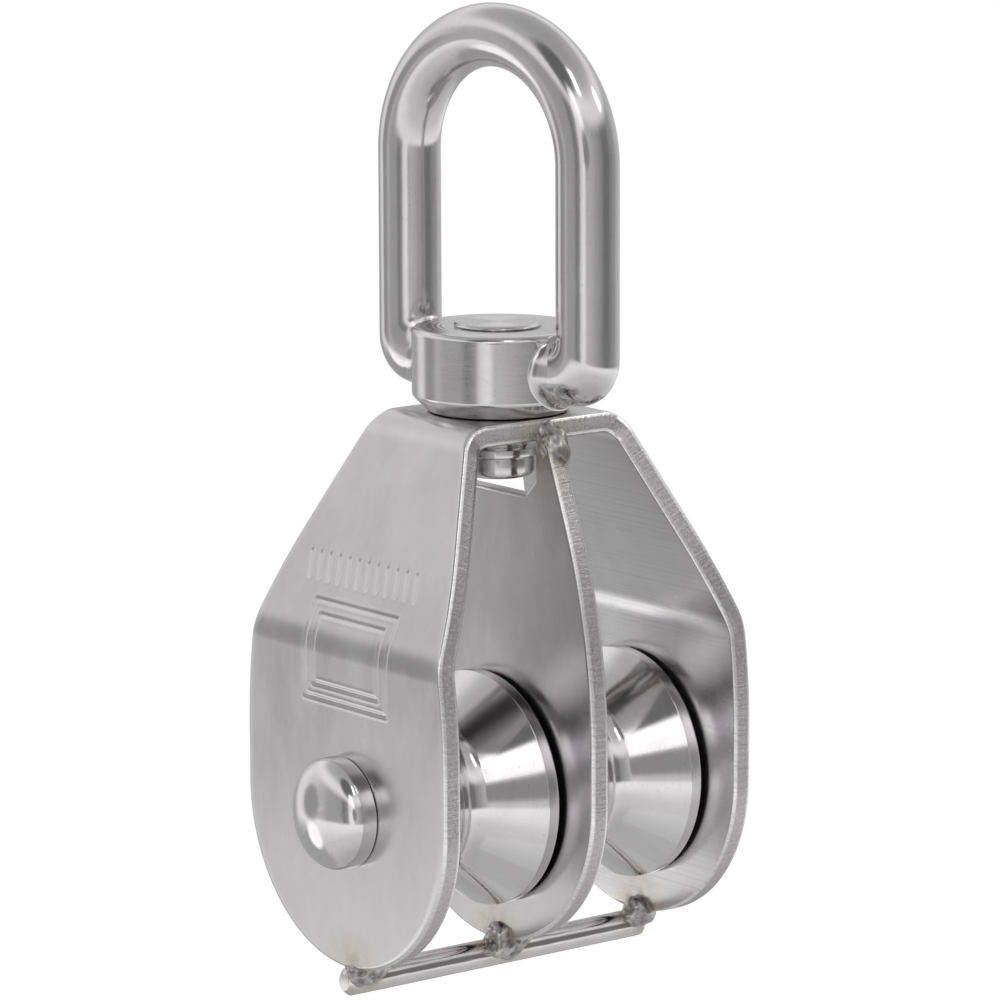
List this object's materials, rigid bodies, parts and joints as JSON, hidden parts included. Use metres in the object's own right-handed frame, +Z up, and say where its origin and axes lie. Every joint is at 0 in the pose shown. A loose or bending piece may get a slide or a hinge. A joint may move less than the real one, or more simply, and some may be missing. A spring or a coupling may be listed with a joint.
{
  "type": "double sheave block",
  "caption": "Small stainless double sheave block: grooved sheaves side by side between bent cheeks, hung from a swivelling welded eye.",
  "frame": {"origin": "the point inside the top of the eye where a hook or shackle bears", "axes": "+Z up along the swivel's axis, X along the sheaves' axle with the domed rivet head towards -X, Y the way the ropes run off"},
  "size_m": [0.0373, 0.0274, 0.0819],
  "materials": {
    "satin_sheet": "satin rolled stainless sheet with sheared edges",
    "polished_bar": "machine-polished round bar",
    "turned_collar": "turned and polished",
    "polished_sheave": "mirror-polished stainless steel",
    "axle_steel": "polished rivet head",
    "drawn_rod": "bright drawn rod",
    "weld_metal": "as-welded, partly ground, with heat tint"
  },
  "bodies": {
    "eye": {"eye_bar": "polished_bar", "swivel_collar": "turned_collar", "eye_weld_front": "weld_metal", "eye_weld_rear": "weld_metal", "swivel_pin": "turned_collar", "swivel_washer": "turned_collar"},
    "frame": {"cheek_strap": "satin_sheet", "centre_plate": "satin_sheet", "crown_weld_front": "weld_metal", "crown_weld_rear": "weld_metal", "axle_rivet": "axle_steel", "tie_rod": "drawn_rod", "tie_rod_weld_left": "weld_metal", "tie_rod_weld_centre": "weld_metal", "tie_rod_weld_right": "weld_metal"},
    "left_sheave": {"sheave_left": "polished_sheave"},
    "right_sheave": {"sheave_right": "polished_sheave"}
  },
  "joints": [
    {"name": "swivel", "type": "hinge", "parent": "eye", "child": "frame", "pos_m": [0, 0, -0.0287], "axis": [0, 0, 1], "continuous": true},
    {"name": "sheave_left_spin", "type": "hinge", "parent": "frame", "child": "left_sheave", "pos_m": [-0.0077, 0, -0.0608], "axis": [1, 0, 0], "continuous": true},
    {"name": "sheave_right_spin", "type": "hinge", "parent": "frame", "child": "right_sheave", "pos_m": [0.0077, 0, -0.0608], "axis": [1, 0, 0], "continuous": true}
  ]
}
